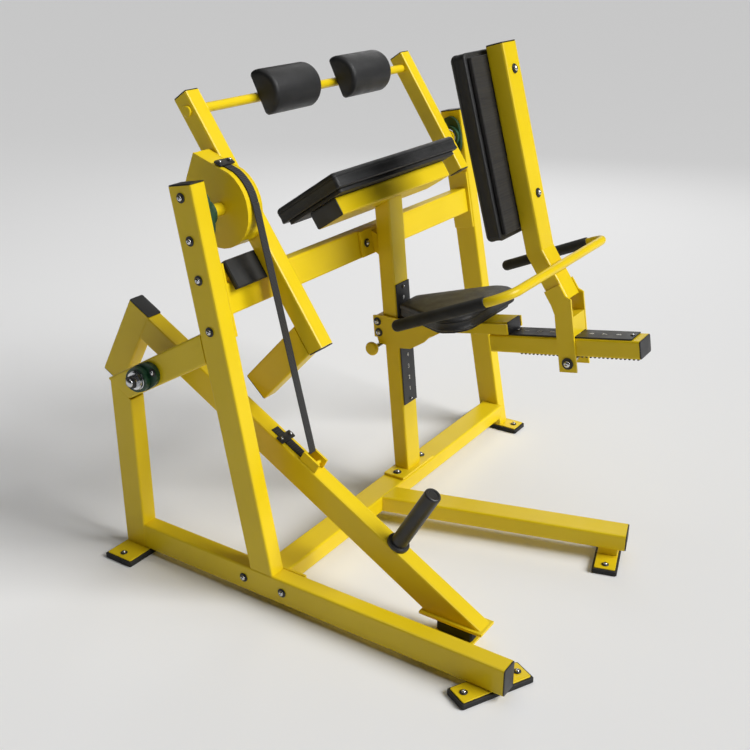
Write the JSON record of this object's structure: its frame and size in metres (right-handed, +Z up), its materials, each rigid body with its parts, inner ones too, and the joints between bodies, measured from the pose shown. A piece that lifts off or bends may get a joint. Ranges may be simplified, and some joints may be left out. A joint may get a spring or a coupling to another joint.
{
  "type": "plate-loaded triceps extension machine",
  "caption": "Seated plate-loaded arm extension machine: leaning frame, swinging arm with two forearm pads, cam, belt, weight lever, sliding seat and backrest.",
  "frame": {"origin": "middle of the machine's footprint box, on the floor", "axes": "+X to the seated user's right, +Y ahead of the user, +Z up"},
  "size_m": [1.424, 1.4121, 1.3877],
  "materials": {
    "yellow_paint": "satin powder coat",
    "black_plastic": "moulded satin black",
    "black_rubber": "matt moulded rubber",
    "black_vinyl": "grained upholstery vinyl over foam",
    "green_casting": "dark green enamel on a casting",
    "bright_steel": "bright zinc plate",
    "pad_board": "black-stained plywood",
    "belt": "black woven belt"
  },
  "bodies": {
    "frame": {"left_base_rail": "yellow_paint", "rear_post": "yellow_paint", "lever_strut": "yellow_paint", "left_upright": "yellow_paint", "right_upright": "yellow_paint", "cross_base_beam": "yellow_paint", "upper_crossbeam": "yellow_paint", "centre_rail": "yellow_paint", "centre_post": "yellow_paint", "arm_pad_tube": "yellow_paint", "arm_pad": "black_vinyl", "foot_rear_left": "black_rubber", "foot_front_left": "black_rubber", "foot_right": "black_rubber", "foot_centre": "black_rubber", "swing_bearing_left": "green_casting", "swing_bearing_right": "green_casting", "lever_bearing_outer": "green_casting", "lever_bearing_inner": "green_casting", "lever_stop_bracket": "yellow_paint", "lever_stop_rubber": "black_rubber", "swing_stop_rubber": "black_rubber", "swing_stop_bracket": "yellow_paint", "seat_rack": "black_plastic", "seat_number_plate": "black_plastic"},
    "swing": {"cam": "yellow_paint", "belt_wrap": "belt", "swing_left_post": "yellow_paint", "swing_right_post": "yellow_paint", "counterweight_arm": "yellow_paint", "swing_shaft_left": "yellow_paint", "swing_shaft_right": "yellow_paint", "roller_bar": "yellow_paint", "forearm_pad_left": "black_vinyl", "forearm_pad_right": "black_vinyl"},
    "lever": {"lever_frame": "yellow_paint", "strike_plate": "yellow_paint", "lever_shaft": "bright_steel", "weight_horn": "black_plastic", "belt_lugs": "yellow_paint", "belt_tail": "belt"},
    "belt": {"belt_span": "belt"},
    "seat": {"carriage_cheeks": "yellow_paint", "back_beam": "yellow_paint", "seat_arm": "yellow_paint", "carriage_roller": "bright_steel", "beam_number_plate": "black_plastic", "beam_rack": "black_plastic", "seat_board": "pad_board", "seat_pad": "black_vinyl"},
    "latch": {"latch_bar": "bright_steel", "latch_knob": "yellow_paint"},
    "back": {"back_post": "yellow_paint", "clevis": "yellow_paint", "clevis_roller": "bright_steel", "back_pad_board": "pad_board", "back_pad": "black_vinyl", "handle_bar": "yellow_paint", "handle_grip_left": "black_rubber", "handle_grip_right": "black_rubber"}
  },
  "joints": [
    {"name": "swing", "type": "hinge", "parent": "frame", "child": "swing", "pos_m": [0.0848, 0.2158, 1.0175], "axis": [-1, 0, 0], "range_deg": [0, 100]},
    {"name": "lever", "type": "hinge", "parent": "frame", "child": "lever", "pos_m": [0.0848, 0.4052, 0.5676], "axis": [-1, 0, 0], "range_deg": [0, 24.4]},
    {"name": "belt", "type": "hinge", "parent": "frame", "child": "belt", "pos_m": [0.0848, 0.12737, 1.03898], "axis": [-1, 0, 0], "range_deg": [0, 9.75], "deforming": ["belt_span"]},
    {"name": "seat_height", "type": "slide", "parent": "frame", "child": "seat", "axis": [0, 0.0936, 0.9956], "range_m": [-0.15, 0.09]},
    {"name": "seat_latch", "type": "slide", "parent": "seat", "child": "latch", "axis": [0, 0.9956, -0.0936], "range_m": [0, 0.014], "stiffness_N_per_m": 800, "springref_m": -0.004},
    {"name": "back_slide", "type": "slide", "parent": "seat", "child": "back", "axis": [0, -0.9857, 0.1685], "range_m": [-0.09, 0.14]}
  ],
  "couplings": [
    {"joint": "lever", "follows": "swing", "ratio": 0.244},
    {"joint": "belt", "follows": "swing", "ratio": 0.0975}
  ]
}
